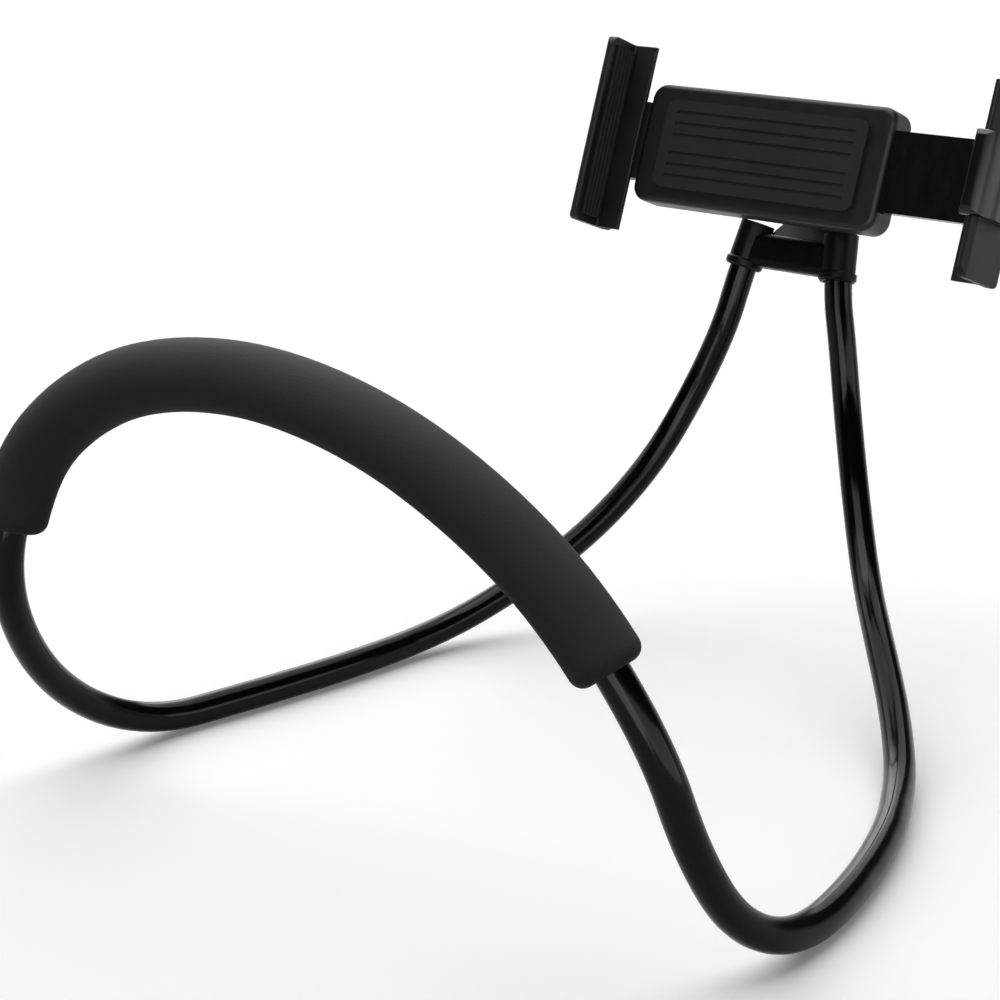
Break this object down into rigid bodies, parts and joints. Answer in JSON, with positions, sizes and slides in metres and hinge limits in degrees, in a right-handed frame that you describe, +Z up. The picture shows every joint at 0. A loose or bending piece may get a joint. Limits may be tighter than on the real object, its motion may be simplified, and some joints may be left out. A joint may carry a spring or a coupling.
{
  "type": "neck-worn phone holder",
  "caption": "Black bendable tube loop with a foam neck sleeve, joined by a fork that carries a ball-jointed spring clamp for a phone held sideways.",
  "frame": {"origin": "centre of the bounding box, on the floor that the two side runs lie on", "axes": "+X to the wearer's right as seen from behind the sleeve, +Y from the sleeve towards the clamp, +Z up"},
  "size_m": [0.2727, 0.3427, 0.2275],
  "materials": {
    "tube_vinyl": "gloss",
    "foam": "matte",
    "fork_plastic": "satin",
    "stud_plastic": "satin",
    "screw_steel": "satin",
    "nut_plastic": "satin",
    "case_plastic": "satin",
    "arm_plastic": "satin",
    "jaw_plastic": "satin",
    "pad_rubber": "matte",
    "spring_steel": "satin"
  },
  "bodies": {
    "loop": {"gooseneck": "tube_vinyl", "foam_sleeve": "foam", "fork": "fork_plastic", "tube_screws": "screw_steel"},
    "stud": {"ball_stud": "stud_plastic", "stud_screw": "screw_steel"},
    "nut": {"lock_nut": "nut_plastic"},
    "clamp": {"rear_cover": "case_plastic", "clamp_tray": "case_plastic", "fixed_jaw": "jaw_plastic", "fixed_jaw_pad": "pad_rubber", "rest_pad": "pad_rubber", "jaw_spring_upper": "spring_steel", "jaw_spring_lower": "spring_steel", "cover_screws": "screw_steel", "fixed_jaw_screws": "screw_steel"},
    "jaw": {"slide_arm": "arm_plastic", "sliding_jaw": "jaw_plastic", "sliding_jaw_pad": "pad_rubber", "sliding_jaw_screws": "screw_steel"}
  },
  "joints": [
    {"name": "ball_swivel", "type": "hinge", "parent": "loop", "child": "stud", "pos_m": [-0.0221, 0.1497, 0.1795], "axis": [0, 0.9489, -0.3156], "range_deg": [-40, 40]},
    {"name": "ball_tilt", "type": "hinge", "parent": "stud", "child": "nut", "pos_m": [-0.0221, 0.1497, 0.1795], "axis": [0.9996, -0.0088, -0.0265], "range_deg": [-25, 4]},
    {"name": "clamp_roll", "type": "hinge", "parent": "nut", "child": "clamp", "pos_m": [-0.0221, 0.1497, 0.1795], "axis": [0, 0.9489, -0.3156], "continuous": true},
    {"name": "jaw_slide", "type": "slide", "parent": "clamp", "child": "jaw", "axis": [0.9996, -0.0088, -0.0265], "range_m": [-0.035, 0.025], "deforming": ["jaw_spring_upper", "jaw_spring_lower"]}
  ]
}
